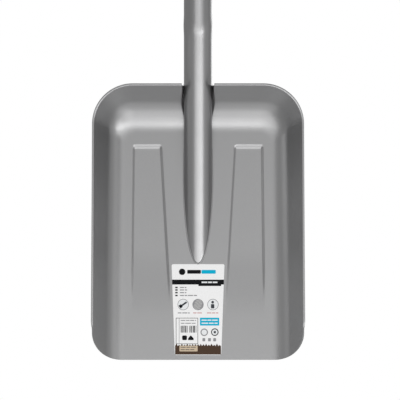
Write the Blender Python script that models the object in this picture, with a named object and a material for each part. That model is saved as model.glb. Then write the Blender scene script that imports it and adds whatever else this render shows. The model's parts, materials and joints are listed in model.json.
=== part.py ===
"""Grain scoop shovel: a pressed steel scoop welded to a cranked steel tube that ends in a plastic D grip.

Metres, +Z up. The scoop's flat floor stands upright in an XZ plane and the scoop opens towards -Y, which
is the front. The shovel is drawn with the middle of its cutting edge at the origin, and main() then moves
it so that the origin is the middle of the grip's crossbar, where a hand or a rack holds it. "Height" is
the distance in front of the floor's front face, so a point of height h is drawn at y = -SHEET / 2 - h.
"""

import math

import bmesh
import bpy
from mathutils import Vector
from mathutils.bvhtree import BVHTree

GAP = 0.0003  # clearance between pieces that touch

# Scoop, pressed from one steel sheet
SHEET = 0.0020
FLOOR_LENGTH = 0.290
FLOOR_HALF_WIDTH = 0.0925
SIDE_RUN = 0.0395  # a side wall's width, seen from the front
SIDE_BEND_RADIUS = 0.029
SIDE_ANGLE = math.radians(52)
SIDE_DROP = 0.20  # share of its height that a side wall loses towards the cutting edge
BACK_RUN = 0.0595
BACK_BEND_RADIUS = 0.053
BACK_ANGLE = math.radians(50)
BACK_CORNER_RADIUS = 0.049
FRONT_CORNER_RADIUS = 0.0355
FLARE = 0.014  # share by which the scoop is wider at the cutting edge than at the back
LEVEL_RIM_FROM = FRONT_CORNER_RADIUS + 0.002  # above here the rim's cut face is level, facing the front
LEVEL_RIM_BLEND = 0.012
BLADE_LENGTH = FLOOR_LENGTH + BACK_RUN
RIM_HALF_WIDTH = FLOOR_HALF_WIDTH + SIDE_RUN

# Two stiffening ribs, pressed backwards into the floor
RIB_DEPTH = 0.0018
RIB_SLOPE = 0.003  # width of a rib's sloping side
RIB_END_SLOPE = 0.005
RIB_TOP = 0.275
RIB_FADE_START = 0.140
RIB_FADE_END = 0.055
RIB_INNER = (0.0313, 0.0483)  # distance of the inner side from the middle, at the edge and at FLOOR_LENGTH
RIB_OUTER = (0.0840, 0.0815)

# Tube: a lower straight stretch that sinks into the floor, a bend, and a long straight stretch
TUBE_RADIUS = 0.018
TUBE_WALL = 0.0014
LOWER_ANGLE = math.radians(9.6)  # between the lower stretch and the floor
UPPER_ANGLE = math.radians(27)
AXIS_CROSSING = 0.232  # height up the blade where the tube's axis meets the floor
BEND_START = 0.180  # along the axis, from AXIS_CROSSING
BEND_RADIUS = 0.110
BEND_OVAL = 0.025  # share by which the bend widens the tube
UPPER_LENGTH = 0.640
ROUND_FROM = 0.346  # the slanting cut has left the tube's underside here

# Half-round seat for the tube, pressed into the back wall
SEAT_RADIUS = TUBE_RADIUS + 0.0010
SEAT_DRAFT = math.radians(86)
SEAT_LIP = 0.0026  # radius of the rounded lip where the seat meets the wall
SEAT_LIP_FROM = 0.008  # the lip has its full radius where the wall is this high

# Welds
FLOOR_BEAD_RADIUS = 0.0008
SEAT_BEAD_RADIUS = 0.0023
REAR_BEAD_RADIUS = 0.0016
BEAD_SIDES = 8

# D grip, in the frame of the tube's upper end: +Z along the tube, -Y to the front
SOCKET_DEPTH = 0.072
SOCKET_RADIUS = 0.0232
BORE_RADIUS = TUBE_RADIUS + GAP
CROSSBAR_RISE = 0.100
CROSSBAR_HALF = 0.043  # half of its straight length
CROSSBAR_RADIUS = 0.0155
CORE_RADIUS = 0.013
GRIP_CORNER_RADIUS = 0.018
ARM_HALF_WIDTH = 0.0095
ARM_HALF_DEPTH = 0.0135
SLEEVE_HALF_LENGTH = 0.040
SCREW_RISE = -0.036
SCREW_HEAD_RADIUS = 0.0042
SCREW_SHANK_RADIUS = 0.0021
SCREW_SEAT = SOCKET_RADIUS - 0.0018  # distance of a screw head's underside from the tube's axis

# Label on the floor, narrower towards the edge
LABEL_BOTTOM = 0.007
LABEL_TOP = 0.121
LABEL_HALF_WIDTHS = (0.0293, 0.0336)
LABEL_THICKNESS = 0.00025

TUBE_SIDES = 36
GRIP_SIDES = 20

GREY_PAINT = ("grey_powder_coat", (0.43, 0.43, 0.44), 0.38, 0.35)
BLACK_PLASTIC = ("black_plastic", (0.025, 0.025, 0.028), 0.5, 0.0)
SOFT_RUBBER = ("soft_grip", (0.11, 0.115, 0.12), 0.75, 0.0)
ZINC = ("zinc_steel", (0.62, 0.62, 0.60), 0.3, 1.0)
PRINTED_FILM = ("printed_label", (0.93, 0.93, 0.93), 0.35, 0.0)


# --- helpers ---------------------------------------------------------------------------------------


def clear_scene():
    for obj in list(bpy.data.objects):
        bpy.data.objects.remove(obj, do_unlink=True)


def material(finish):
    name, colour, roughness, metallic = finish
    found = bpy.data.materials.get(name)
    if found:
        return found
    made = bpy.data.materials.new(name)
    made.use_nodes = True
    shader = made.node_tree.nodes["Principled BSDF"]
    shader.inputs["Base Color"].default_value = (*colour, 1)
    shader.inputs["Roughness"].default_value = roughness
    shader.inputs["Metallic"].default_value = metallic
    return made


def add_object(name, bm, finish=None):
    mesh = bpy.data.meshes.new(name)
    bm.to_mesh(mesh)
    bm.free()
    mesh.shade_smooth()
    mesh.set_sharp_from_angle(angle=math.radians(35))
    obj = bpy.data.objects.new(name, mesh)
    bpy.context.scene.collection.objects.link(obj)
    if finish:
        mesh.materials.append(material(finish))
    return obj


def as_cutter(obj):
    obj.hide_render = True
    obj.display_type = "WIRE"
    return obj


def boolean(obj, operation, other):
    modifier = obj.modifiers.new(f"{operation.lower()}_{other.name}", "BOOLEAN")
    modifier.operation = operation
    modifier.object = other
    modifier.solver = "EXACT"
    modifier.use_self = operation == "UNION"


def add_patch(bm, points):
    """A grid of quads over a list of rows of points."""
    rows = [[bm.verts.new(p) for p in row] for row in points]
    for low, high in zip(rows, rows[1:]):
        for k in range(len(low) - 1):
            bm.faces.new((low[k], low[k + 1], high[k + 1], high[k]))


def add_loft(bm, rings, caps=True):
    """Quads between rings of points, each ring closed, with a face over the first and the last."""
    made = [[bm.verts.new(p) for p in ring] for ring in rings]
    count = len(made[0])
    for low, high in zip(made, made[1:]):
        for k in range(count):
            n = (k + 1) % count
            bm.faces.new((low[k], low[n], high[n], high[k]))
    if caps:
        bm.faces.new(made[0][::-1])
        bm.faces.new(made[-1])
    return made


def loft_object(name, rings, finish=None):
    bm = bmesh.new()
    add_loft(bm, rings)
    bmesh.ops.recalc_face_normals(bm, faces=bm.faces)
    return add_object(name, bm, finish)


def turned(name, profile, sides, finish=None):
    """A solid of revolution about Z from (radius, z) points, closed at both ends."""
    rings = []
    for radius, z in profile:
        angles = [2 * math.pi * (k + 0.5) / sides for k in range(sides)]
        rings.append([Vector((radius * math.cos(a), radius * math.sin(a), z)) for a in angles])
    return loft_object(name, rings, finish)


def lerp(a, b, share):
    return a + (b - a) * share


def smooth_step(share):
    share = min(1.0, max(0.0, share))
    return share * share * (3 - 2 * share)


def at_height(x, height, z):
    """The point of that height in front of the floor."""
    return Vector((x, -SHEET / 2 - height, z))


# --- scoop -----------------------------------------------------------------------------------------


def wall_height(run, radius, angle):
    """Height of a wall this far outside the floor: a bend of that radius, then straight at that angle."""
    bend = radius * math.sin(angle)
    if run <= bend:
        return radius - math.sqrt(radius * radius - run * run)
    return radius * (1 - math.cos(angle)) + (run - bend) * math.tan(angle)


def side_height(share, z):
    lost = SIDE_DROP * (1 - smooth_step(z / FLOOR_LENGTH))
    return wall_height(share * SIDE_RUN, SIDE_BEND_RADIUS, SIDE_ANGLE) * (1 - lost)


def back_height(share):
    return wall_height(share * BACK_RUN, BACK_BEND_RADIUS, BACK_ANGLE)


def tube_axis_height(z):
    return (z - AXIS_CROSSING) * math.tan(LOWER_ANGLE)


def seat_height(x, z):
    """Height of the seat pressed for the tube: a half round, then side walls with a draft."""
    slant = math.cos(LOWER_ANGLE)
    edge = SEAT_RADIUS * math.sin(SEAT_DRAFT)
    if x < edge:
        return tube_axis_height(z) - math.sqrt(SEAT_RADIUS**2 - x * x) / slant
    foot = tube_axis_height(z) - SEAT_RADIUS * math.cos(SEAT_DRAFT) / slant
    return foot + (x - edge) * math.tan(SEAT_DRAFT)


def seat_lip(z):
    """(half width of the seat below its lip, radius of the lip) at this z on the back wall."""
    wall = back_height((z - FLOOR_LENGTH) / BACK_RUN)
    radius = SEAT_LIP * min(1.0, wall / SEAT_LIP_FROM)
    low, high = 0.0, 2 * SEAT_RADIUS
    for _ in range(40):
        middle = (low + high) / 2
        if seat_height(middle, z) < wall - radius:
            low = middle
        else:
            high = middle
    return low, radius


def with_seat(x, z, wall):
    """Height of the back wall once the tube's seat is pressed into it."""
    x = abs(x)
    half_width, radius = seat_lip(z)
    if x <= half_width:
        return max(0.0, seat_height(x, z))
    if x >= half_width + radius:
        return wall
    short = 1 - (x - half_width) / radius
    return wall - radius * (1 - math.sqrt(1 - short * short))


def rib_depth(x, z):
    x = abs(x)
    along = z / FLOOR_LENGTH
    inner, outer = lerp(*RIB_INNER, along), lerp(*RIB_OUTER, along)
    across = min((x - inner) / RIB_SLOPE, (outer - x) / RIB_SLOPE) + 0.5
    end = (RIB_TOP - z) / RIB_END_SLOPE
    fade = smooth_step((z - RIB_FADE_END) / (RIB_FADE_START - RIB_FADE_END))
    return RIB_DEPTH * fade * min(1.0, max(0.0, across)) * min(1.0, max(0.0, end))


def flared(x, z):
    return x * (1 + FLARE * (1 - z / BLADE_LENGTH))


def seat_columns(z):
    """Distances from the middle of the grid lines that run through the tube's seat and over its lip."""
    half_width, radius = seat_lip(max(z, FLOOR_LENGTH))
    inside = [half_width * f for f in (0, 0.24, 0.46, 0.64, 0.79, 0.90, 0.96, 1.0)]
    spread = max(radius, 0.0012)
    return inside + [half_width + spread * f for f in (0.12, 0.45, 1.0)]


def floor_columns():
    """Distances from the middle of the floor's grid lines, at the cutting edge and at the floor's back."""
    half = RIB_SLOPE / 2
    edge_in, back_in = RIB_INNER
    edge_out, back_out = RIB_OUTER
    return [(x, x) for x in seat_columns(FLOOR_LENGTH)] + [
        (0.024, 0.028),
        (edge_in - half, back_in - half),
        (edge_in + half, back_in + half),
        ((edge_in + edge_out) / 2, (back_in + back_out) / 2),
        (edge_out - half, back_out - half),
        (edge_out + half, back_out + half),
        (FLOOR_HALF_WIDTH, FLOOR_HALF_WIDTH),
    ]


def floor_rows():
    low = [0, 0.012, 0.024, 0.036, RIB_FADE_END, 0.075, 0.097, 0.118, RIB_FADE_START]
    return low + [0.185, 0.230, RIB_TOP - RIB_END_SLOPE, RIB_TOP, FLOOR_LENGTH]


def wall_shares():
    """Shares of the wall's run, spaced so that the front corner's arc has even steps."""
    arc_start = RIM_HALF_WIDTH - FRONT_CORNER_RADIUS - FLOOR_HALF_WIDTH
    steps = 10
    arc = [math.sin(math.pi / 2 * k / steps) for k in range(steps + 1)]
    return [0] + [(arc_start + FRONT_CORNER_RADIUS * a) / SIDE_RUN for a in arc]


def front_corner_z(x):
    """Where the rounded front corner cuts a side wall."""
    over = x - (RIM_HALF_WIDTH - FRONT_CORNER_RADIUS)
    if over <= 0:
        return 0.0
    return FRONT_CORNER_RADIUS - math.sqrt(max(0.0, FRONT_CORNER_RADIUS**2 - over * over))


def floor_patch():
    return [
        [
            at_height(flared(x, z), -rib_depth(x, z), z)
            for x in (lerp(edge, back, z / FLOOR_LENGTH) for edge, back in floor_columns())
        ]
        for z in floor_rows()
    ]


def side_patch():
    corner_end = RIB_FADE_END
    rows = []
    for z in floor_rows():
        row = []
        for share in wall_shares():
            x = FLOOR_HALF_WIDTH + share * SIDE_RUN
            start = front_corner_z(x)
            moved = z if z >= corner_end else lerp(start, corner_end, z / corner_end)
            row.append(at_height(flared(x, moved), side_height(share, moved), moved))
        rows.append(row)
    return rows


def corner_patch():
    steps = 9
    rows = []
    for k in range(steps + 1):
        turn = math.pi / 2 * k / steps
        row = []
        for share in wall_shares():
            radius = share * BACK_CORNER_RADIUS
            x = FLOOR_HALF_WIDTH + share * SIDE_RUN - radius * (1 - math.cos(turn))
            z = FLOOR_LENGTH + share * BACK_RUN - radius * (1 - math.sin(turn))
            height = lerp(side_height(share, z), back_height(share), smooth_step(k / steps))
            row.append(at_height(flared(x, z), height, z))
        rows.append(row)
    return rows


def back_patch():
    kept = 0.026  # nearer the middle than this, grid lines keep to the tube's seat
    rows = []
    for k, (_, back) in reversed(list(enumerate(floor_columns()))):
        row = []
        for share in wall_shares():
            z = FLOOR_LENGTH + share * BACK_RUN
            reach = FLOOR_HALF_WIDTH + share * (SIDE_RUN - BACK_CORNER_RADIUS)
            if back > kept:
                x = kept + (back - kept) * (reach - kept) / (FLOOR_HALF_WIDTH - kept)
            else:
                x = seat_columns(z)[k]
            row.append(at_height(flared(x, z), with_seat(x, z, back_height(share)), z))
        rows.append(row)
    return rows


def back_point(vert):
    """The point behind a vertex of the front face, on the sheet's other side."""
    square = vert.co - SHEET * vert.normal
    in_seat = abs(vert.co.x) < sum(seat_lip(BLADE_LENGTH)) - 1e-6 and vert.co.z > FLOOR_LENGTH
    if not vert.is_boundary or in_seat or vert.co.z < LEVEL_RIM_FROM:
        return square
    outward = Vector((-vert.normal.x, 0, -vert.normal.z))
    level = vert.co + SHEET * outward / outward.length_squared
    return square.lerp(level, smooth_step((vert.co.z - LEVEL_RIM_FROM) / LEVEL_RIM_BLEND))


def thicken(bm):
    """Add the sheet's back face, and the cut face all round its rim."""
    bm.normal_update()
    front = bm.faces[:]
    rim = [(loop.vert, loop.link_loop_next.vert) for f in front for loop in f.loops if loop.edge.is_boundary]
    back = {vert: back_point(vert) for vert in bm.verts}
    back = {vert: bm.verts.new(point) for vert, point in back.items()}
    for face in front:
        bm.faces.new([back[v] for v in reversed(face.verts)])
    for a, b in rim:
        bm.faces.new((b, a, back[a], back[b]))


def make_blade():
    """Half of the front face, mirrored, then given the sheet's thickness towards the back.

    Returns that half of the front face, to place welds against.
    """
    bm = bmesh.new()
    sides = side_patch()
    corner = corner_patch()
    add_patch(bm, floor_patch())
    add_patch(bm, sides[:-1] + [corner[0]])
    add_patch(bm, corner)
    add_patch(bm, back_patch())
    bmesh.ops.remove_doubles(bm, verts=bm.verts, dist=1e-6)
    front_face = BVHTree.FromBMesh(bm)
    bmesh.ops.mirror(bm, geom=bm.verts[:] + bm.edges[:] + bm.faces[:], axis="X", merge_dist=1e-6)
    bmesh.ops.recalc_face_normals(bm, faces=bm.faces)
    if sum(face.normal.y for face in bm.faces) > 0:
        bmesh.ops.reverse_faces(bm, faces=bm.faces)
    thicken(bm)
    add_object("blade", bm, GREY_PAINT)
    return front_face


# --- tube ------------------------------------------------------------------------------------------


def ring_angles(sides):
    """Angles round the tube; 0 is the crest that faces the front and 90 degrees is the +X side."""
    return [2 * math.pi * k / sides for k in range(sides)]


def tube_point(angle, radius, z):
    """The point at this z and this angle on a cylinder round the lower stretch's axis."""
    up = radius * math.cos(angle)
    along = (z - AXIS_CROSSING + up * math.sin(LOWER_ANGLE)) / math.cos(LOWER_ANGLE)
    height = along * math.sin(LOWER_ANGLE) + up * math.cos(LOWER_ANGLE)
    return at_height(radius * math.sin(angle), height, z)


def tube_point_at(angle, radius, height):
    """The point at this height and this angle on a cylinder round the lower stretch's axis."""
    up = radius * math.cos(angle)
    along = (height - up * math.cos(LOWER_ANGLE)) / math.sin(LOWER_ANGLE)
    z = AXIS_CROSSING + along * math.cos(LOWER_ANGLE) - up * math.sin(LOWER_ANGLE)
    return at_height(radius * math.sin(angle), height, z)


def axis_stations():
    """(z, height, angle to the floor, share by which the section is oval) along the axis."""
    z = AXIS_CROSSING + BEND_START * math.cos(LOWER_ANGLE)
    height = BEND_START * math.sin(LOWER_ANGLE)
    steps = 8
    stations = []
    for k in range(steps + 1):
        angle = lerp(LOWER_ANGLE, UPPER_ANGLE, k / steps)
        stations.append(
            (
                z + BEND_RADIUS * (math.sin(angle) - math.sin(LOWER_ANGLE)),
                height + BEND_RADIUS * (math.cos(LOWER_ANGLE) - math.cos(angle)),
                angle,
                BEND_OVAL * math.sin(math.pi * k / steps),
            )
        )
    z, height, angle, _ = stations[-1]
    end = (z + UPPER_LENGTH * math.cos(angle), height + UPPER_LENGTH * math.sin(angle), angle, 0.0)
    return stations + [end]


def tube_rings(radius):
    """Rings from the slanting cut on the floor to the upper end."""
    angles = ring_angles(TUBE_SIDES)
    rings = [
        [tube_point_at(a, radius, GAP) for a in angles],
        [tube_point(a, radius, ROUND_FROM) for a in angles],
    ]
    for z, height, lean, oval in axis_stations():
        ring = []
        for a in angles:
            up = radius * (1 - oval) * math.cos(a)
            across = radius * (1 + oval) * math.sin(a)
            ring.append(at_height(across, height + up * math.cos(lean), z - up * math.sin(lean)))
        rings.append(ring)
    return rings


def make_shaft(hole_cutter):
    bm = bmesh.new()
    outer = add_loft(bm, tube_rings(TUBE_RADIUS), caps=False)
    inner = add_loft(bm, tube_rings(TUBE_RADIUS - TUBE_WALL), caps=False)
    for end in (0, -1):
        for k in range(TUBE_SIDES):
            n = (k + 1) % TUBE_SIDES
            bm.faces.new((outer[end][k], outer[end][n], inner[end][n], inner[end][k]))
    bmesh.ops.recalc_face_normals(bm, faces=bm.faces)
    shaft = add_object("shaft_tube", bm, GREY_PAINT)
    boolean(shaft, "DIFFERENCE", hole_cutter)
    return shaft


# --- welds -----------------------------------------------------------------------------------------


def bead(name, centres, radii):
    """A round bead along the centres, with these radii."""
    front = Vector((0, -1, 0))
    rings = []
    for k, (centre, radius) in enumerate(zip(centres, radii)):
        ahead = centres[min(k + 1, len(centres) - 1)] - centres[max(k - 1, 0)]
        side = ahead.cross(front).normalized()
        up = side.cross(ahead).normalized()
        ring = []
        for a in ring_angles(BEAD_SIDES):
            ring.append(centre + radius * (math.cos(a) * side + math.sin(a) * up))
        rings.append(ring)
    return loft_object(name, rings, GREY_PAINT)


def tapered(radius, count):
    """Radii that swell quickly from a thin end and thin again at the other end."""
    return [radius * (0.45 + 0.55 * math.sin(math.pi * k / (count - 1)) ** 0.35) for k in range(count)]


def floor_weld(name, first, last, steps):
    """A bead round the tube's slanting cut, between two angles in degrees; 0 is its tip."""
    reach = TUBE_RADIUS + FLOOR_BEAD_RADIUS + GAP
    angles = [math.radians(lerp(first, last, k / steps)) for k in range(steps + 1)]
    centres = [tube_point_at(a, reach, FLOOR_BEAD_RADIUS + GAP) for a in angles]
    return bead(name, centres, tapered(FLOOR_BEAD_RADIUS, len(centres)))


def seat_bead_centre(z, radius, sheet):
    """Where a bead of this radius rests against both the tube and the sheet beside it, at this z."""
    centre = None
    for degrees in range(40, 150):
        lower = tube_point(math.radians(degrees), TUBE_RADIUS + radius + GAP, z)
        if sheet.find_nearest(lower)[3] < radius + GAP:
            break
        centre = lower
    return centre


def seat_weld(name, side, sheet):
    """A bead in the corner between the tube and the seat's lip, thick in its middle."""
    first, last, steps = FLOOR_LENGTH + 0.003, FLOOR_LENGTH + 0.046, 14
    zs = [lerp(first, last, k / steps) for k in range(steps + 1)]
    radii = [SEAT_BEAD_RADIUS * (0.35 + 0.65 * math.sin(math.pi * k / steps)) for k in range(steps + 1)]
    centres = [seat_bead_centre(z, r, sheet) for z, r in zip(zs, radii)]
    return bead(name, [Vector((side * c.x, c.y, c.z)) for c in centres], radii)


def rear_weld(name):
    """A bead under the tube, along the rim of the seat."""
    reach = TUBE_RADIUS + REAR_BEAD_RADIUS + GAP
    z = BLADE_LENGTH + REAR_BEAD_RADIUS + 2 * GAP
    steps = 10
    angles = [math.radians(lerp(115, 245, k / steps)) for k in range(steps + 1)]
    centres = [tube_point(a, reach, z) for a in angles]
    return bead(name, centres, tapered(REAR_BEAD_RADIUS, len(centres)))


# --- D grip ----------------------------------------------------------------------------------------


def make_grip_frame():
    """An empty at the tube's upper end, with +Z along the tube and -Y to the front."""
    z, height, lean, _ = axis_stations()[-1]
    frame = bpy.data.objects.new("grip_frame", None)
    frame.location = at_height(0, height, z)
    frame.rotation_euler = (lean, 0, 0)
    bpy.context.scene.collection.objects.link(frame)
    return frame


def arm_curve(share):
    """Right arm's centreline from inside the socket to the crossbar's corner, as a cubic curve."""
    ends = (
        Vector((0.006, 0, 0.002)),
        Vector((0.036, 0, 0.020)),
        Vector((CROSSBAR_HALF + GRIP_CORNER_RADIUS, 0, 0.044)),
        Vector((CROSSBAR_HALF + GRIP_CORNER_RADIUS, 0, CROSSBAR_RISE - GRIP_CORNER_RADIUS)),
    )
    back = 1 - share
    weights = (back**3, 3 * back * back * share, 3 * back * share * share, share**3)
    return sum((w * p for w, p in zip(weights, ends)), Vector())


def half_yoke():
    """(centre, half width, half depth) of the sections from the socket to the middle of the crossbar."""
    arm_steps, corner_steps = 9, 6
    sections = []
    for k in range(arm_steps):
        share = k / arm_steps
        width = lerp(0.0125, ARM_HALF_WIDTH, smooth_step(2 * share))
        sections.append((arm_curve(share), width, ARM_HALF_DEPTH))
    for k in range(corner_steps + 1):
        share = k / corner_steps
        angle = math.pi / 2 * share
        centre = Vector((CROSSBAR_HALF, 0, CROSSBAR_RISE - GRIP_CORNER_RADIUS))
        centre += GRIP_CORNER_RADIUS * Vector((math.cos(angle), 0, math.sin(angle)))
        width = lerp(ARM_HALF_WIDTH, CROSSBAR_RADIUS, smooth_step(share))
        depth = lerp(ARM_HALF_DEPTH, CROSSBAR_RADIUS, smooth_step(share))
        sections.append((centre, width, depth))
    for x, radius in (
        (SLEEVE_HALF_LENGTH + 2 * GAP, CROSSBAR_RADIUS),
        (SLEEVE_HALF_LENGTH + GAP, CORE_RADIUS),
        (SLEEVE_HALF_LENGTH / 2, CORE_RADIUS),
    ):
        sections.append((Vector((x, 0, CROSSBAR_RISE)), radius, radius))
    return sections


def make_yoke():
    """Both arms and the crossbar, as one bar of elliptical section with its ends inside the socket."""
    right = half_yoke()
    left = [(Vector((-c.x, 0, c.z)), w, d) for c, w, d in reversed(right)]
    sections = right + left
    depth_way = Vector((0, 1, 0))
    rings = []
    for k, (centre, width, depth) in enumerate(sections):
        before, after = sections[max(k - 1, 0)][0], sections[min(k + 1, len(sections) - 1)][0]
        width_way = (after - before).normalized().cross(depth_way)
        ring = []
        for a in ring_angles(GRIP_SIDES):
            ring.append(centre + width * math.cos(a) * width_way + depth * math.sin(a) * depth_way)
        rings.append(ring)
    return loft_object("yoke_shape", rings)


def make_socket():
    return turned(
        "grip_body",
        [
            (SOCKET_RADIUS - 0.0022, -SOCKET_DEPTH),
            (SOCKET_RADIUS - 0.0008, -SOCKET_DEPTH + 0.0012),
            (SOCKET_RADIUS, -SOCKET_DEPTH + 0.006),
            (SOCKET_RADIUS, -0.010),
            (SOCKET_RADIUS - 0.001, 0.002),
            (SOCKET_RADIUS - 0.005, 0.012),
            (0.011, 0.018),
            (0.004, 0.0205),
        ],
        2 * GRIP_SIDES,
        BLACK_PLASTIC,
    )


def make_bore_cutter():
    below = -SOCKET_DEPTH - 0.010
    return as_cutter(
        turned("bore_cutter", [(BORE_RADIUS, below), (BORE_RADIUS, GAP)], TUBE_SIDES)
    )


def cross_cutter(name, radius, inside, outside):
    """A cylinder along Y at the screws' place, between two distances from the tube's axis."""
    cutter = as_cutter(turned(name, [(radius, inside), (radius, outside)], 16))
    cutter.location = (0, 0, SCREW_RISE)
    cutter.rotation_euler = (math.pi / 2, 0, 0)
    return cutter


def make_screw(name, side):
    """A pan-head screw in the socket's counterbore; side is -1 at the front and 1 at the rear."""
    seat = SCREW_SEAT + GAP
    screw = turned(
        name,
        [
            (0.0006, TUBE_RADIUS - 0.0050),
            (SCREW_SHANK_RADIUS, TUBE_RADIUS - 0.0030),
            (SCREW_SHANK_RADIUS, seat),
            (SCREW_HEAD_RADIUS, seat),
            (SCREW_HEAD_RADIUS, seat + 0.0009),
            (SCREW_HEAD_RADIUS * 0.80, seat + 0.0019),
            (SCREW_HEAD_RADIUS * 0.40, seat + 0.0024),
        ],
        16,
        ZINC,
    )
    screw.location = (0, 0, SCREW_RISE)
    screw.rotation_euler = (-side * math.pi / 2, 0, 0)
    return screw


def make_sleeve():
    """Soft sleeve round the crossbar's core, flush with its shoulders."""
    bm = bmesh.new()
    loops = []
    for radius, half in (
        (CORE_RADIUS + GAP, SLEEVE_HALF_LENGTH),
        (CROSSBAR_RADIUS - 0.0008, SLEEVE_HALF_LENGTH),
        (CROSSBAR_RADIUS, SLEEVE_HALF_LENGTH - 0.0008),
    ):
        loops.append((radius, half))
    profile = loops + [(r, -x) for r, x in reversed(loops)]
    sides = 2 * GRIP_SIDES
    rings = []
    for radius, x in profile:
        rings.append(
            [
                Vector((x, radius * math.sin(a), CROSSBAR_RISE + radius * math.cos(a)))
                for a in ring_angles(sides)
            ]
        )
    add_loft(bm, rings + rings[:1], caps=False)
    bmesh.ops.remove_doubles(bm, verts=bm.verts, dist=1e-6)
    bmesh.ops.recalc_face_normals(bm, faces=bm.faces)
    return add_object("grip_sleeve", bm, SOFT_RUBBER)


def make_grip(frame):
    body = make_socket()
    yoke = as_cutter(make_yoke())
    bore = make_bore_cutter()
    boolean(body, "UNION", yoke)
    boolean(body, "DIFFERENCE", bore)
    pieces = [body, yoke, bore, make_sleeve()]
    outside = SOCKET_RADIUS + 0.010
    for name, side in (("front", -1), ("rear", 1)):
        spans = sorted((-side * (TUBE_RADIUS - 0.004), -side * outside))
        hole = cross_cutter(f"hole_cutter_{name}", SCREW_SHANK_RADIUS + GAP, *spans)
        spans = sorted((-side * SCREW_SEAT, -side * outside))
        counterbore = cross_cutter(f"counterbore_cutter_{name}", SCREW_HEAD_RADIUS + 2 * GAP, *spans)
        boolean(body, "DIFFERENCE", hole)
        boolean(body, "DIFFERENCE", counterbore)
        pieces += [hole, counterbore, make_screw(f"grip_screw_{name}", side)]
    for piece in pieces:
        piece.parent = frame


def make_shaft_hole_cutter(frame):
    cutter = cross_cutter("shaft_hole_cutter", SCREW_SHANK_RADIUS + GAP, -0.030, 0.030)
    cutter.parent = frame
    return cutter


# --- label -----------------------------------------------------------------------------------------


def make_label():
    low, high = LABEL_HALF_WIDTHS
    outline = ((-low, LABEL_BOTTOM), (low, LABEL_BOTTOM), (high, LABEL_TOP), (-high, LABEL_TOP))
    rings = [
        [at_height(x, GAP + height, z) for x, z in outline] for height in (0, LABEL_THICKNESS)
    ]
    return loft_object("label", rings, PRINTED_FILM)


def hang_from_crossbar(frame):
    """Move the whole shovel so that the middle of the crossbar is the origin."""
    bpy.context.view_layer.update()
    crossbar = frame.matrix_world @ Vector((0, 0, CROSSBAR_RISE))
    for obj in bpy.data.objects:
        if not obj.parent:
            obj.location -= crossbar
    bpy.context.view_layer.update()


def main():
    clear_scene()
    frame = make_grip_frame()
    sheet = make_blade()
    make_shaft(make_shaft_hole_cutter(frame))
    floor_weld("weld_tip", -38, 38, 12)
    floor_weld("weld_left", -112, -42, 12)
    floor_weld("weld_right", 42, 112, 12)
    seat_weld("seat_weld_left", -1, sheet)
    seat_weld("seat_weld_right", 1, sheet)
    rear_weld("rear_weld")
    make_grip(frame)
    make_label()
    hang_from_crossbar(frame)


main()
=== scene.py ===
"""Looks of the grain scoop shovel: fine meshes for every piece, materials, floor, lights and camera.

Every piece is drawn in the scoop's own frame and then moved to LIP: metres, +Z up the scoop, -Y to the
front, with the origin at the middle of the cutting edge. "Height" is the distance in front of the
floor's front face, so a point of height h is drawn at y = -SHEET / 2 - h.
"""

import functools
import json
import math

import bmesh
import bpy
from mathutils import Euler, Matrix, Vector


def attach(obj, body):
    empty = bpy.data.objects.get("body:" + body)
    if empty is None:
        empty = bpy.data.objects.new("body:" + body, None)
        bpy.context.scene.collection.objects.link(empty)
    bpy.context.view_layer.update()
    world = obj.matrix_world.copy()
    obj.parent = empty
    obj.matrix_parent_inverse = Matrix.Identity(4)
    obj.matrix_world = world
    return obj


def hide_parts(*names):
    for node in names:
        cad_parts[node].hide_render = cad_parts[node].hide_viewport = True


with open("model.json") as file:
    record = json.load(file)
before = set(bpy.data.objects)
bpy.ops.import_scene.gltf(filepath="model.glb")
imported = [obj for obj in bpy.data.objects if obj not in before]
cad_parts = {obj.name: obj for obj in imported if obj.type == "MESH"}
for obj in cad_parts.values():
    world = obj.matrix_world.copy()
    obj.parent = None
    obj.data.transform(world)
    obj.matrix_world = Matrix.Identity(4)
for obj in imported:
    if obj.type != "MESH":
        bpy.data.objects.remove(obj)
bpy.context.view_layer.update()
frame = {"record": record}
MOUNTS = {mount["name"]: Vector(mount["pos_m"]) for mount in frame["record"]["mounts"]}
LIP = MOUNTS["lip_edge"]

# The CAD's dimensions, but gaps, weld beads, rib edges and the label's sides differ a little here
SHEET = 0.0020
FLOOR_LENGTH = 0.290
FLOOR_HALF_WIDTH = 0.0925
SIDE_RUN = 0.0395
SIDE_BEND_RADIUS = 0.029
SIDE_ANGLE = math.radians(52)
SIDE_DROP = 0.20
BACK_RUN = 0.0595
BACK_BEND_RADIUS = 0.053
BACK_ANGLE = math.radians(50)
BACK_CORNER_RADIUS = 0.049
FRONT_CORNER_RADIUS = 0.0355
FLOOR_CORNER_RADIUS = 0.015  # the floor's back corners, which the CAD leaves square
FLARE = 0.014
LEVEL_RIM_FROM = FRONT_CORNER_RADIUS + 0.002
LEVEL_RIM_BLEND = 0.012
BLADE_LENGTH = FLOOR_LENGTH + BACK_RUN
RIM_HALF_WIDTH = FLOOR_HALF_WIDTH + SIDE_RUN

RIB_DEPTH = 0.0018
RIB_SLOPE = 0.0040
RIB_END_SLOPE = 0.0060
RIB_TOP = 0.2752
RIB_FADE_START = 0.140
RIB_FADE_END = 0.055
RIB_INNER = (0.0313, 0.0483)  # at the cutting edge, and at the floor's back
RIB_OUTER = (0.0840, 0.0815)

TUBE_RADIUS = 0.018
TUBE_WALL = 0.0014
LOWER_ANGLE = math.radians(9.6)
UPPER_ANGLE = math.radians(27)
AXIS_CROSSING = 0.232
BEND_START = 0.180
BEND_RADIUS = 0.110
BEND_OVAL = 0.025
UPPER_LENGTH = 0.640
ROUND_FROM = 0.346

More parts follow.
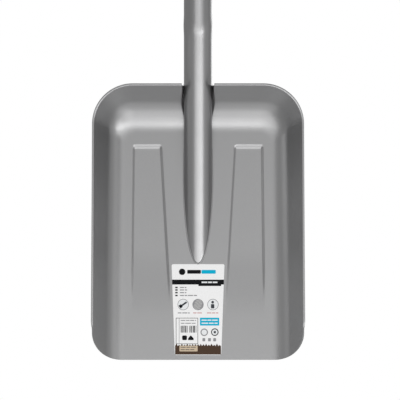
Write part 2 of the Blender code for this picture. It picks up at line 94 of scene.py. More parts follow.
SEAT_RADIUS = TUBE_RADIUS + 0.0006
SEAT_DRAFT = math.radians(86)
SEAT_LIP = 0.0026
SEAT_LIP_FROM = 0.008  # height of the wall where the lip has its full radius
SEAT_LIP_TIGHTENS = (0.65, 0.3)  # from this share of the back wall, over this much of it
SEAT_LIP_LOSS = 0.8
SEAT_FLARE = 0.10  # the seat is wider than the tube part way up the back wall
SEAT_FLARE_SKEW = 0.7  # under 1 puts the widest place nearer the floor

FLOOR_BEAD_RADIUS = 0.0009
SEAT_BEAD_RADIUS = 0.0018
REAR_BEAD_RADIUS = 0.0019
BEAD_RIPPLE = 0.0034  # distance between the ripples of a weld bead
BEAD_STEP = 0.0005

SOCKET_DEPTH = 0.072
SOCKET_RADIUS = 0.0232
BORE_RADIUS = TUBE_RADIUS + 0.0001
CROSSBAR_RISE = 0.100
CROSSBAR_HALF = 0.043
CROSSBAR_RADIUS = 0.0155
CORE_RADIUS = 0.013
GRIP_CORNER_RADIUS = 0.018
ARM_HALF_WIDTH = 0.0095
ARM_HALF_DEPTH = 0.0135
ARM_FOOT_HALF_WIDTH = 0.0125
SLEEVE_HALF_LENGTH = 0.040
SLEEVE_EDGE_RADIUS = 0.0010
SCREW_RISE = -0.036
SCREW_HEAD_RADIUS = 0.0042
SCREW_SHANK_RADIUS = 0.0021
SCREW_SEAT = SOCKET_RADIUS - 0.0018

LABEL_BOTTOM = 0.007
LABEL_TOP = 0.121
LABEL_HALF_WIDTHS = (0.0297, 0.0338)
LABEL_LIFT = 0.00005  # air under the film
LABEL_THICKNESS = 0.00025
LABEL_CORNER = 0.002
LABEL_MARGIN = 0.0010  # how far the cut film reaches past its printed area
INK = 0.00004  # thickness of one layer of print

# Fineness of the meshes
FLOOR_STEP = 0.0016
ROW_STEP = 0.0030
LAST_ROW_STEP = 0.0015
WALL_STEP = 0.0012
RIB_STEP = 0.0005
CORNER_STEPS = 40
TUBE_SIDES = 128
GRIP_SIDES = 48
GRIP_VOXEL = 0.0008


# --- mesh helpers ---


def lerp(a, b, share):
    return a + (b - a) * share


def smooth_step(share):
    share = min(1.0, max(0.0, share))
    return share * share * (3 - 2 * share)


def refined(values, step):
    """The same values with even steps between them, none over step."""
    fine = []
    for low, high in zip(values, values[1:]):
        count = max(1, math.ceil(abs(high - low) / step))
        fine += [lerp(low, high, k / count) for k in range(count)]
    return fine + [values[-1]]


def bisected(high, rounds, is_below):
    """Numbers just below and just above the place between 0 and high where is_below turns false."""
    low = 0.0
    for _ in range(rounds):
        middle = (low + high) / 2
        if is_below(middle):
            low = middle
        else:
            high = middle
    return low, high


def at_height(x, height, z):
    """The point of that height in front of the floor."""
    return Vector((x, -SHEET / 2 - height, z))


def ring_angles(sides):
    return [2 * math.pi * k / sides for k in range(sides)]


def add_patch(bm, points):
    """A grid of quads over a list of rows of points."""
    rows = [[bm.verts.new(p) for p in row] for row in points]
    for low, high in zip(rows, rows[1:]):
        for k in range(len(low) - 1):
            bm.faces.new((low[k], low[k + 1], high[k + 1], high[k]))


def add_loft(bm, rings, caps=True):
    """Quads between rings of points, each ring closed, with a face over the first and the last."""
    made = [[bm.verts.new(p) for p in ring] for ring in rings]
    count = len(made[0])
    for low, high in zip(made, made[1:]):
        for k in range(count):
            n = (k + 1) % count
            bm.faces.new((low[k], low[n], high[n], high[k]))
    if caps:
        bm.faces.new(made[0][::-1])
        bm.faces.new(made[-1])
    return made


def add_object(name, data):
    obj = bpy.data.objects.new(name, data)
    bpy.context.scene.collection.objects.link(obj)
    return obj


def shade(mesh, sharp=35):
    """Smooth shading, except across edges that turn by more than sharp degrees."""
    mesh.shade_smooth()
    mesh.set_sharp_from_angle(angle=math.radians(sharp))


def mesh_object(name, bm, sharp=35):
    bmesh.ops.recalc_face_normals(bm, faces=bm.faces)
    mesh = bpy.data.meshes.new(name)
    bm.to_mesh(mesh)
    bm.free()
    shade(mesh, sharp)
    return add_object(name, mesh)


def add_turned(bm, profile, sides):
    """A solid of revolution about Z from (radius, z) points, closed at both ends."""
    angles = ring_angles(sides)
    add_loft(bm, [[Vector((r * math.cos(a), r * math.sin(a), z)) for a in angles] for r, z in profile])


def turned(name, profile, sides):
    bm = bmesh.new()
    add_turned(bm, profile, sides)
    return mesh_object(name, bm)


def apply_modifiers(obj):
    """Turn what the modifiers make into the object's own mesh."""
    bpy.context.view_layer.update()
    graph = bpy.context.evaluated_depsgraph_get()
    mesh = bpy.data.meshes.new_from_object(obj.evaluated_get(graph))
    obj.modifiers.clear()
    obj.data = mesh
    shade(mesh)


def cut(obj, cutters):
    """Take the cutters away from the object, and remove them."""
    for cutter in cutters:
        modifier = obj.modifiers.new("cut", "BOOLEAN")
        modifier.operation = "DIFFERENCE"
        modifier.solver = "EXACT"
        modifier.object = cutter
    apply_modifiers(obj)
    for cutter in cutters:
        bpy.data.objects.remove(cutter)


def place(piece, material, slot, nodes=(), spot=None):
    """Give a piece its material, its place in the frame and the CAD nodes that it stands for."""
    piece.data.materials.clear()
    piece.data.materials.append(material)
    if spot:
        piece.data.transform(spot)
    piece.matrix_world = Matrix.Translation(LIP)
    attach(piece, "root")
    if nodes:
        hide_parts(*nodes)


# --- material helpers ---


class Surface:
    """A Principled material and the few kinds of node that its surface is made with."""

    def __init__(self, name, colour, roughness, metallic=0.0, **constants):
        self.material = bpy.data.materials.new(name)
        self.material.use_nodes = True
        self.tree = self.material.node_tree
        self.shader = self.tree.nodes["Principled BSDF"]
        self.set("Base Color", (*colour, 1))
        self.set("Roughness", roughness)
        self.set("Metallic", metallic)
        for socket, value in constants.items():
            self.set(socket.replace("_", " "), value)
        self.place = self.tree.nodes.new("ShaderNodeTexCoord").outputs["Object"]

    def set(self, socket, value):
        self.shader.inputs[socket].default_value = value

    def link(self, socket, output):
        self.tree.links.new(output, self.shader.inputs[socket])

    def node(self, kind, inputs=(), **settings):
        made = self.tree.nodes.new(kind)
        for key, value in settings.items():
            setattr(made, key, value)
        for key, value in dict(inputs).items():
            if isinstance(value, bpy.types.NodeSocket):
                self.tree.links.new(value, made.inputs[key])
            else:
                made.inputs[key].default_value = value
        return made

    def noise(self, size, detail=2.0, rough=0.5, place=None):
        """Noise whose lumps are about this far apart, in metres."""
        inputs = {"Vector": place or self.place, "Scale": 1 / size, "Detail": detail, "Roughness": rough}
        return self.node("ShaderNodeTexNoise", inputs).outputs["Fac"]

    def seen_from(self, spot, shares=(1, 1, 1)):
        """Coordinates measured from another place in the piece, then multiplied by these shares."""
        back = spot.inverted()
        inputs = {"Vector": self.place, "Rotation": back.to_euler(), "Location": back.translation}
        turned_back = self.node("ShaderNodeMapping", inputs).outputs["Vector"]
        inputs = {"Vector": turned_back, "Scale": shares}
        return self.node("ShaderNodeMapping", inputs).outputs["Vector"]

    def math(self, operation, a, b=0.0):
        return self.node("ShaderNodeMath", {0: a, 1: b}, operation=operation).outputs[0]

    def spread(self, value, low, high, start=0.3, end=0.7):
        """The value mapped from start..end to low..high."""
        inputs = {"Value": value, "From Min": start, "From Max": end, "To Min": low, "To Max": high}
        return self.node("ShaderNodeMapRange", inputs).outputs["Result"]

    def blend(self, factor, first, second):
        """A colour between two colours, each given as a tuple or a socket."""
        first, second = ((*c, 1) if isinstance(c, tuple) else c for c in (first, second))
        return self.node("ShaderNodeMix", {0: factor, 6: first, 7: second}, data_type="RGBA").outputs[2]

    def tint(self, value, first, second):
        """Base colour between two colours, by a noise."""
        self.link("Base Color", self.blend(self.spread(value, 0.0, 1.0), first, second))

    def bump(self, height, depth, under=None):
        """A bump that is depth metres high where the height is 1."""
        inputs = {"Height": height, "Distance": depth, "Strength": 1.0}
        if under:
            inputs["Normal"] = under
        return self.node("ShaderNodeBump", inputs).outputs["Normal"]


def grey_powder_coat():
    """Silver-grey powder coat: a faint orange peel, fine metallic grain and slightly uneven gloss."""
    s = Surface("grey_powder_coat", (0.33, 0.33, 0.333), 0.30, metallic=0.85)
    grain = s.noise(0.0005, detail=3)
    cloud = s.noise(0.045, detail=3)
    tone = s.blend(s.spread(grain, 0.0, 1.0), (0.31, 0.31, 0.313), (0.35, 0.35, 0.353))
    s.link("Base Color", s.blend(s.spread(cloud, 0.0, 0.3), tone, (0.31, 0.31, 0.314)))
    s.link("Roughness", s.spread(s.math("ADD", cloud, s.math("MULTIPLY", grain, 0.3)), 0.28, 0.33, 0.4, 0.9))
    peel = s.bump(s.noise(0.0022, detail=1), 0.000008)
    s.link("Normal", s.bump(grain, 0.000003, peel))
    return s.material


def black_plastic():
    """Moulded polypropylene with a fine spark-eroded grain, and a parting line round its middle."""
    s = Surface("black_plastic", (0.022, 0.022, 0.024), 0.5, Specular_IOR_Level=0.45)
    grain = s.noise(0.0007, detail=4, rough=0.6)
    wear = s.noise(0.020, detail=4)
    s.tint(wear, (0.018, 0.018, 0.020), (0.034, 0.034, 0.036))
    s.link("Roughness", s.spread(wear, 0.42, 0.60))
    across = s.node("ShaderNodeSeparateXYZ", {0: s.seen_from(grip_place())}).outputs["Y"]
    line = s.spread(s.math("ABSOLUTE", across), 1.0, 0.0, 0.00015, 0.00045)
    s.link("Normal", s.bump(grain, 0.00005, s.bump(line, 0.0002)))
    return s.material


def soft_rubber():
    """Matt soft-touch rubber, slightly dusty in its pores."""
    s = Surface("soft_grip", (0.10, 0.105, 0.11), 0.8, Specular_IOR_Level=0.35)
    pores = s.noise(0.0006, detail=5, rough=0.65)
    dust = s.noise(0.012, detail=4)
    s.tint(dust, (0.085, 0.09, 0.095), (0.13, 0.135, 0.14))
    s.link("Roughness", s.spread(pores, 0.70, 0.88))
    s.link("Normal", s.bump(pores, 0.00008))
    return s.material


def zinc_steel():
    """Zinc plate with fine turning marks and a little uneven brightness."""
    s = Surface("zinc_steel", (0.62, 0.62, 0.60), 0.3, metallic=1.0)
    marks = s.noise(0.0004, detail=3, place=s.seen_from(grip_place(), (1, 6, 1)))
    patina = s.noise(0.003, detail=3)
    s.tint(patina, (0.66, 0.66, 0.63), (0.54, 0.53, 0.50))
    s.link("Roughness", s.spread(patina, 0.24, 0.42))
    s.link("Normal", s.bump(marks, 0.00002))
    return s.material


def printed(name, colour, roughness=0.45):
    """Ink or bare film of a printed label: slightly mottled, and smooth with faint waves."""
    s = Surface(name, colour, roughness, Specular_IOR_Level=0.08)
    mottle = s.noise(0.0009, detail=4)
    darker = tuple(c * 0.96 for c in colour)
    lighter = tuple(min(1.0, c * 1.03 + 0.002) for c in colour)
    s.tint(mottle, darker, lighter)
    s.link("Roughness", s.spread(mottle, roughness - 0.05, roughness + 0.08))
    s.link("Normal", s.bump(s.noise(0.014, detail=1), 0.00005))
    return s.material


# --- scoop ---


def wall_height(run, radius, angle):
    """Height of a wall at this distance from the floor: a bend, then a straight slope."""
    bend = radius * math.sin(angle)
    if run <= bend:
        return radius - math.sqrt(radius * radius - run * run)
    return radius * (1 - math.cos(angle)) + (run - bend) * math.tan(angle)


def side_height(share, z):
    """Height of a side wall at this share of its run; it is lower towards the cutting edge."""
    lost = SIDE_DROP * (1 - smooth_step(z / FLOOR_LENGTH))
    return wall_height(share * SIDE_RUN, SIDE_BEND_RADIUS, SIDE_ANGLE) * (1 - lost)


def back_height(share):
    return wall_height(share * BACK_RUN, BACK_BEND_RADIUS, BACK_ANGLE)


def bowl_height(x, z):
    """Height of the scoop without its ribs and seat, where the walls meet in a rounded corner.

    Lines of equal share run parallel to the floor's rounded outline, up to the rim.
    """
    if wall_share_gap(0.0, x, z)[0] <= 0:
        return 0.0
    share = bisected(1.0, 26, lambda middle: wall_share_gap(middle, x, z)[0] > 0)[1]
    turn = wall_share_gap(share, x, z)[1]
    return lerp(side_height(share, z), back_height(share), smooth_step(turn))


def wall_share_gap(share, x, z):
    """(distance outside the line of this share, turn round the corner from side 0 to back 1)."""
    radius = lerp(FLOOR_CORNER_RADIUS, BACK_CORNER_RADIUS, share)
    over_x = x - (FLOOR_HALF_WIDTH + share * SIDE_RUN - radius)
    over_z = z - (FLOOR_LENGTH + share * BACK_RUN - radius)
    if over_x <= 0 or over_z <= 0:
        return max(over_x, over_z) - radius, float(over_z > over_x)
    return math.hypot(over_x, over_z) - radius, math.atan2(over_z, over_x) / (math.pi / 2)


def tube_axis_height(z):
    return (z - AXIS_CROSSING) * math.tan(LOWER_ANGLE)


def seat_height(x, z):
    """Height of the seat pressed for the tube: a half round, then side walls with a draft."""
    up_wall = min(1.0, max(0.0, (z - FLOOR_LENGTH) / BACK_RUN))
    x /= 1 + SEAT_FLARE * math.sin(math.pi * up_wall**SEAT_FLARE_SKEW)
    slant = math.cos(LOWER_ANGLE)
    edge = SEAT_RADIUS * math.sin(SEAT_DRAFT)
    if x < edge:
        return tube_axis_height(z) - math.sqrt(SEAT_RADIUS**2 - x * x) / slant
    foot = tube_axis_height(z) - SEAT_RADIUS * math.cos(SEAT_DRAFT) / slant
    return foot + (x - edge) * math.tan(SEAT_DRAFT)


@functools.cache
def seat_lip(z):
    """(half width of the seat below its lip, radius of the lip) at this z on the back wall."""
    up_wall = (z - FLOOR_LENGTH) / BACK_RUN
    wall = back_height(up_wall)
    start, run = SEAT_LIP_TIGHTENS
    tight = smooth_step((up_wall - start) / run)
    radius = SEAT_LIP * min(1.0, wall / SEAT_LIP_FROM) * (1 - SEAT_LIP_LOSS * tight)
    half_width = bisected(2 * SEAT_RADIUS, 40, lambda middle: seat_height(middle, z) < wall - radius)[0]
    return half_width, radius


def with_seat(x, z, wall):
    """Height of the back wall once the tube's seat is pressed into it."""
    x = abs(x)
    half_width, radius = seat_lip(z)
    if x <= half_width:
        return max(0.0, seat_height(x, z))
    if x >= half_width + radius:
        return wall
    short = 1 - (x - half_width) / radius
    return wall - radius * (1 - math.sqrt(1 - short * short))


def rib_depth(x, z):
    """Depth of the ribs pressed into the floor, whose edges are rounded."""
    x = abs(x)
    along = z / FLOOR_LENGTH
    inner, outer = lerp(*RIB_INNER, along), lerp(*RIB_OUTER, along)
    across = min((x - inner) / RIB_SLOPE, (outer - x) / RIB_SLOPE) + 0.5
    end = (RIB_TOP - z) / RIB_END_SLOPE
    fade = smooth_step((z - RIB_FADE_END) / (RIB_FADE_START - RIB_FADE_END))
    return RIB_DEPTH * fade * smooth_step(across) * smooth_step(end)


def sheet_point(x, z, height):
    """A point of the scoop's front face, which is a little wider towards the cutting edge."""
    return at_height(x * (1 + FLARE * (1 - z / BLADE_LENGTH)), height, z)


def seat_columns(z):
    """Distances from the middle of the grid lines that run through the tube's seat and over its lip."""
    half_width, radius = seat_lip(max(z, FLOOR_LENGTH))
    least_spread, steps, lip_steps = 0.0012, 18, 7
    spread = max(radius, least_spread)
    inside = [half_width * math.sin(math.pi / 2 * k / steps) for k in range(steps + 1)]
    turns = [math.pi / 2 * k / lip_steps for k in range(1, lip_steps + 1)]
    return inside + [half_width + spread * (1 - math.cos(turn)) for turn in turns]


@functools.cache
def floor_columns():
    """Distances from the middle of the floor's grid lines, at the cutting edge and at the floor's back."""
    half = RIB_SLOPE / 2
    seat = seat_columns(FLOOR_LENGTH)
    stops = [(seat[-1], seat[-1])]
    for edge, back in (RIB_INNER, RIB_OUTER):
        stops += [(edge - half, back - half), (edge + half, back + half)]
    stops.append((FLOOR_HALF_WIDTH, FLOOR_HALF_WIDTH))
    steps = [FLOOR_STEP, RIB_STEP, FLOOR_STEP, RIB_STEP, WALL_STEP]
    columns = [(x, x) for x in seat]
    for (low, low_back), (high, high_back), step in zip(stops, stops[1:], steps):
        count = math.ceil(max(high - low, high_back - low_back) / step)
        shares = [k / count for k in range(1, count + 1)]
        columns += [(lerp(low, high, s), lerp(low_back, high_back, s)) for s in shares]
    return columns


@functools.cache
def floor_rows():
    """Distances of the floor's rows from the cutting edge, closest where the ribs end."""
    ribs_end, past_ribs = RIB_TOP - RIB_END_SLOPE, RIB_TOP + 0.0004
    rows = refined([0, ribs_end], ROW_STEP)[:-1] + refined([ribs_end, past_ribs], RIB_STEP)[:-1]
    return rows + refined([past_ribs, FLOOR_LENGTH], LAST_ROW_STEP)


@functools.cache
def wall_shares():
    """Shares of the wall's run, spaced so that the front corner's arc has even steps."""
    arc_start = RIM_HALF_WIDTH - FRONT_CORNER_RADIUS - FLOOR_HALF_WIDTH
    steps = 34
    arc = [arc_start + FRONT_CORNER_RADIUS * math.sin(math.pi / 2 * k / steps) for k in range(steps + 1)]
    return [run / SIDE_RUN for run in refined([0, arc_start], WALL_STEP)[:-1] + arc]


def front_corner_z(x):
    """Where the rounded front corner cuts a side wall."""
    over = x - (RIM_HALF_WIDTH - FRONT_CORNER_RADIUS)
    if over <= 0:
        return 0.0
    return FRONT_CORNER_RADIUS - math.sqrt(max(0.0, FRONT_CORNER_RADIUS**2 - over * over))


def floor_patch():
    """Rows of points of the floor's right half, from its middle to the side wall."""
    rows = []
    for z in floor_rows():
        xs = [lerp(edge, back, z / FLOOR_LENGTH) for edge, back in floor_columns()]
        rows.append([sheet_point(x, z, bowl_height(x, z) - rib_depth(x, z)) for x in xs])
    return rows


def side_patch():
    """Rows of points of the right side wall, from its rounded front corner back."""
    corner_end = RIB_FADE_END
    rows = []
    for z in floor_rows():
        row = []
        for share in wall_shares():
            x = FLOOR_HALF_WIDTH + share * SIDE_RUN
            start = front_corner_z(x)
            moved = z if z >= corner_end else lerp(start, corner_end, z / corner_end)
            row.append(sheet_point(x, moved, bowl_height(x, moved)))
        rows.append(row)
    return rows


def corner_patch():
    """Rows of points of the right back corner, from the side wall round to the back wall."""
    rows = []
    for k in range(CORNER_STEPS + 1):
        turn = math.pi / 2 * k / CORNER_STEPS
        row = []
        for share in wall_shares():
            radius = share * BACK_CORNER_RADIUS
            x = FLOOR_HALF_WIDTH + share * SIDE_RUN - radius * (1 - math.cos(turn))
            z = FLOOR_LENGTH + share * BACK_RUN - radius * (1 - math.sin(turn))
            row.append(sheet_point(x, z, bowl_height(x, z)))
        rows.append(row)
    return rows


def back_patch():
    """Rows of points of the back wall's right half, from the corner to the middle of the seat."""
    seat_end = seat_columns(FLOOR_LENGTH)[-1]
    rows = []
    for k, (_, back) in reversed(list(enumerate(floor_columns()))):
        row = []
        for share in wall_shares():
            z = FLOOR_LENGTH + share * BACK_RUN
            reach = FLOOR_HALF_WIDTH + share * (SIDE_RUN - BACK_CORNER_RADIUS)
            columns = seat_columns(z)
            if k < len(columns):
                x = columns[k]
            else:
                x = lerp(columns[-1], reach, (back - seat_end) / (FLOOR_HALF_WIDTH - seat_end))
            row.append(sheet_point(x, z, with_seat(x, z, bowl_height(x, z))))
        rows.append(row)
    return rows


def back_point(vert):
    """The point behind a vertex of the front face, on the sheet's other side."""
    square = vert.co - SHEET * vert.normal
    in_seat = abs(vert.co.x) < sum(seat_lip(BLADE_LENGTH)) - 1e-6 and vert.co.z > FLOOR_LENGTH
    if not vert.is_boundary or in_seat or vert.co.z < LEVEL_RIM_FROM:
        return square
    outward = Vector((-vert.normal.x, 0, -vert.normal.z))
    level = vert.co + SHEET * outward / outward.length_squared
    return square.lerp(level, smooth_step((vert.co.z - LEVEL_RIM_FROM) / LEVEL_RIM_BLEND))


def thicken(bm):
    """Add the sheet's back face, and a softly rounded cut face all round its rim."""
    rim_steps, rim_bulge = 6, 0.00022
    bm.normal_update()
    front = bm.faces[:]
    rim = [(loop.vert, loop.link_loop_next.vert) for f in front for loop in f.loops if loop.edge.is_boundary]
    back = {vert: back_point(vert) for vert in bm.verts}
    back = {vert: bm.verts.new(point) for vert, point in back.items()}
    for face in front:
        bm.faces.new([back[v] for v in reversed(face.verts)])
    chains = {}
    for vert in dict.fromkeys(v for pair in rim for v in pair):
        between = [bm.verts.new(vert.co.lerp(back[vert].co, k / rim_steps)) for k in range(1, rim_steps)]
        chains[vert] = [vert, *between, back[vert]]
    for a, b in rim:
        for k in range(rim_steps):
            bm.faces.new((chains[b][k], chains[a][k], chains[a][k + 1], chains[b][k + 1]))
    bm.normal_update()
    for chain in chains.values():
        for k, vert in enumerate(chain[1:-1], 1):
            vert.co += vert.normal * rim_bulge * (1 - abs(2 * k / rim_steps - 1) ** 3)


def make_blade():
    """One pressed sheet: floor, side walls and back wall, with the ribs and the tube's seat."""
    bm = bmesh.new()
    sides = side_patch()
    corner = corner_patch()
    add_patch(bm, floor_patch())
    add_patch(bm, sides[:-1] + [corner[0]])
    add_patch(bm, corner)
    add_patch(bm, back_patch())
    same_point = 2e-6
    bmesh.ops.remove_doubles(bm, verts=bm.verts, dist=same_point)
    bmesh.ops.mirror(bm, geom=bm.verts[:] + bm.edges[:] + bm.faces[:], axis="X", merge_dist=same_point)
    bmesh.ops.recalc_face_normals(bm, faces=bm.faces)
    if sum(face.normal.y for face in bm.faces) > 0:
        bmesh.ops.reverse_faces(bm, faces=bm.faces)
    thicken(bm)
    return mesh_object("scoop_sheet", bm, 50)


# --- tube ---


def tube_point(angle, radius, z):
    """The point at this z and this angle on a cylinder round the lower stretch's axis."""
    up = radius * math.cos(angle)
    along = (z - AXIS_CROSSING + up * math.sin(LOWER_ANGLE)) / math.cos(LOWER_ANGLE)
    height = along * math.sin(LOWER_ANGLE) + up * math.cos(LOWER_ANGLE)
    return at_height(radius * math.sin(angle), height, z)


def tube_point_at(angle, radius, height):
    """The point at this height and this angle on a cylinder round the lower stretch's axis."""
    up = radius * math.cos(angle)
    along = (height - up * math.cos(LOWER_ANGLE)) / math.sin(LOWER_ANGLE)
    z = AXIS_CROSSING + along * math.cos(LOWER_ANGLE) - up * math.sin(LOWER_ANGLE)
    return at_height(radius * math.sin(angle), height, z)


def axis_stations():
    """(z, height, angle to the floor, share by which the section is oval) along the axis."""
    z = AXIS_CROSSING + BEND_START * math.cos(LOWER_ANGLE)
    height = BEND_START * math.sin(LOWER_ANGLE)
    steps = 28
    stations = []
    for k in range(steps + 1):
        angle = lerp(LOWER_ANGLE, UPPER_ANGLE, k / steps)
        ahead = z + BEND_RADIUS * (math.sin(angle) - math.sin(LOWER_ANGLE))
        up = height + BEND_RADIUS * (math.cos(LOWER_ANGLE) - math.cos(angle))
        stations.append((ahead, up, angle, BEND_OVAL * math.sin(math.pi * k / steps) ** 2))
    z, height, angle, _ = stations[-1]
    for share in (0.25, 0.5, 0.75, 1.0):
        run = UPPER_LENGTH * share
        stations.append((z + run * math.cos(angle), height + run * math.sin(angle), angle, 0.0))
    return stations


def tube_rings(radius):
    """Rings from the slanting cut, just inside the floor's face, to the upper end."""
    angles = ring_angles(TUBE_SIDES)
    buried = -0.0003
    foot = [tube_point_at(a, radius, buried) for a in angles]
    full = [tube_point(a, radius, ROUND_FROM) for a in angles]
    steps = 12
    rings = [[low.lerp(high, k / steps) for low, high in zip(foot, full)] for k in range(steps + 1)]
    for z, height, lean, oval in axis_stations():
        ring = []
        for a in angles:
            up = radius * (1 - oval) * math.cos(a)
            across = radius * (1 + oval) * math.sin(a)
            ring.append(at_height(across, height + up * math.cos(lean), z - up * math.sin(lean)))
        rings.append(ring)
    return rings


def make_shaft():
    bm = bmesh.new()
    outer = add_loft(bm, tube_rings(TUBE_RADIUS), caps=False)
    inner = add_loft(bm, tube_rings(TUBE_RADIUS - TUBE_WALL), caps=False)
    for end in (0, -1):
        for k in range(TUBE_SIDES):
            n = (k + 1) % TUBE_SIDES
            bm.faces.new((outer[end][k], outer[end][n], inner[end][n], inner[end][k]))
    return mesh_object("handle_tube", bm)


# --- welds ---


def resampled(centres, radii):
    """Points along a polyline about every BEAD_STEP, with the radii between its own."""
    points, sizes = [centres[0]], [radii[0]]
    for (a, b), (r, s) in zip(zip(centres, centres[1:]), zip(radii, radii[1:])):
        count = max(1, math.ceil((b - a).length / BEAD_STEP))
        for k in range(1, count + 1):
            points.append(a.lerp(b, k / count))
            sizes.append(lerp(r, s, k / count))
    return points, sizes


def bead(name, centres, radii, sides=20):
    """A weld bead along the centres: overlapping ripples on a round bead, as the pool froze."""
    front = Vector((0, -1, 0))
    valley, swell, lag_share = 0.93, 0.10, 0.35
    centres, radii = resampled(centres, radii)
    bm = bmesh.new()
    rings = []
    travelled = 0.0
    for k, (centre, radius) in enumerate(zip(centres, radii)):
        if k:
            travelled += (centre - centres[k - 1]).length
        ahead = centres[min(k + 1, len(centres) - 1)] - centres[max(k - 1, 0)]
        side = ahead.cross(front).normalized()
        up = side.cross(ahead).normalized()
        ring = []
        for a in ring_angles(sides):
            lag = BEAD_RIPPLE * lag_share * math.cos(a) ** 2
            phase = ((travelled + lag) / BEAD_RIPPLE) % 1.0
            grown = radius * (valley + swell * math.sin(math.pi * phase) ** 0.6)
            ring.append(centre + grown * (math.cos(a) * side + math.sin(a) * up))
        rings.append(ring)
    add_loft(bm, rings)
    return mesh_object(name, bm, 60)


def floor_weld(name, first, last):
    """A thin bead round the tube's slanting cut, between two angles in degrees; 0 is its tip."""
    steps, off_tube, off_floor = 40, 0.45, 0.15
    reach = TUBE_RADIUS + FLOOR_BEAD_RADIUS * off_tube
    angles = [math.radians(lerp(first, last, k / steps)) for k in range(steps + 1)]
    centres = [tube_point_at(a, reach, FLOOR_BEAD_RADIUS * off_floor) for a in angles]
    return bead(name, centres, [FLOOR_BEAD_RADIUS] * len(centres))


def seat_bead_centre(z, radius):
    """Where a bead of this radius sinks a little into both the tube and the sheet beside it."""
    off_tube, off_sheet = 0.62, 0.45
    start, end = 400, 1500  # tenths of a degree round the tube from its front
    back_wall = back_height((z - FLOOR_LENGTH) / BACK_RUN)
    centre = None
    for tenths in range(start, end):
        lower = tube_point(math.radians(tenths / 10), TUBE_RADIUS + radius * off_tube, z)
        height = -lower.y - SHEET / 2
        x = abs(lower.x)
        wall = with_seat(x, z, back_wall) if x < sum(seat_lip(z)) else back_wall
        if height - wall < radius * off_sheet:
            break
        centre = lower
    return centre


def seat_weld(name, side):
    """A bead in the corner between the tube and the seat's lip, thick in its middle."""
    first, last, steps = FLOOR_LENGTH + 0.002, BLADE_LENGTH - 0.0012, 36
    thin, swell = 0.45, 0.55
    zs = [lerp(first, last, k / steps) for k in range(steps + 1)]
    radii = [SEAT_BEAD_RADIUS * (thin + swell * math.sin(math.pi * k / steps)) for k in range(steps + 1)]
    centres = [seat_bead_centre(z, r) for z, r in zip(zs, radii)]
    return bead(name, [Vector((side * c.x, c.y, c.z)) for c in centres], radii)


def rear_weld(name):
    """A bead under the tube, along the rim of the seat."""
    off, first, last, steps = 0.6, 113, 247, 40
    reach = TUBE_RADIUS + REAR_BEAD_RADIUS * off
    z = BLADE_LENGTH + REAR_BEAD_RADIUS * off
    angles = [math.radians(lerp(first, last, k / steps)) for k in range(steps + 1)]
    shares = [0.5 + 0.5 * math.sin(math.pi * k / steps) ** 0.35 for k in range(steps + 1)]
    return bead(name, [tube_point(a, reach, z) for a in angles], [REAR_BEAD_RADIUS * s for s in shares])


# --- D grip ---


def grip_place():
    """The tube's upper end in the scoop's frame, with +Z along the tube and -Y to the front."""
    z, height, lean, _ = axis_stations()[-1]
    return Matrix.Translation(at_height(0, height, z)) @ Euler((lean, 0, 0)).to_matrix().to_4x4()


def arm_curve(share):
    """Right arm's centreline from inside the socket to the crossbar's corner, as a cubic curve."""
    out, up = CROSSBAR_HALF + GRIP_CORNER_RADIUS, CROSSBAR_RISE - GRIP_CORNER_RADIUS
    points = ((0.006, 0, 0.002), (0.036, 0, 0.020), (out, 0, 0.044), (out, 0, up))
    back = 1 - share
    weights = (back**3, 3 * back * back * share, 3 * back * share * share, share**3)
    return sum((w * Vector(p) for w, p in zip(weights, points)), Vector())


def half_yoke():
    """(centre, half width, half depth) of the sections from the socket to the middle of the crossbar."""
    arm_steps, corner_steps = 40, 18
    sections = []
    for k in range(arm_steps):
        share = k / arm_steps
        width = lerp(ARM_FOOT_HALF_WIDTH, ARM_HALF_WIDTH, smooth_step(2 * share))
        sections.append((arm_curve(share), width, ARM_HALF_DEPTH))
    for k in range(corner_steps + 1):
        share = k / corner_steps
        angle = math.pi / 2 * share
        centre = Vector((CROSSBAR_HALF, 0, CROSSBAR_RISE - GRIP_CORNER_RADIUS))
        centre += GRIP_CORNER_RADIUS * Vector((math.cos(angle), 0, math.sin(angle)))
        width = lerp(ARM_HALF_WIDTH, CROSSBAR_RADIUS, smooth_step(share))
        depth = lerp(ARM_HALF_DEPTH, CROSSBAR_RADIUS, smooth_step(share))
        sections.append((centre, width, depth))
    end = SLEEVE_HALF_LENGTH
    for x, radius in ((end + 0.0012, CROSSBAR_RADIUS), (end + 0.0002, CORE_RADIUS), (end / 2, CORE_RADIUS)):
        sections.append((Vector((x, 0, CROSSBAR_RISE)), radius, radius))
    return sections


def add_yoke(bm):
    """Both arms and the crossbar, as one bar of elliptical section with its ends inside the socket."""
    right = half_yoke()
    left = [(Vector((-c.x, 0, c.z)), w, d) for c, w, d in reversed(right)]
    sections = right + left
    depth_way = Vector((0, 1, 0))
    rings = []
    for k, (centre, width, depth) in enumerate(sections):
        before, after = sections[max(k - 1, 0)][0], sections[min(k + 1, len(sections) - 1)][0]
        width_way = (after - before).normalized().cross(depth_way)
        ring = []
        for a in ring_angles(GRIP_SIDES):
            ring.append(centre + width * math.cos(a) * width_way + depth * math.sin(a) * depth_way)
        rings.append(ring)
    add_loft(bm, rings)


def socket_profile():
    """(radius, z) of the socket: a rolled lower edge, a collar, and a dome under the arms."""
    wall, collar, foot = SOCKET_RADIUS, SOCKET_RADIUS + 0.0007, -SOCKET_DEPTH
    return [
        (wall - 0.0022, foot),
        (wall - 0.0004, foot + 0.0008),
        (collar, foot + 0.0025),
        (collar, foot + 0.0085),
        (wall, foot + 0.0105),
        (wall, -0.010),
        (wall - 0.0004, -0.003),
        (wall - 0.0018, 0.004),
        (wall - 0.005, 0.012),
        (wall - 0.009, 0.0165),
        (0.011, 0.0185),
        (0.004, 0.0205),
    ]


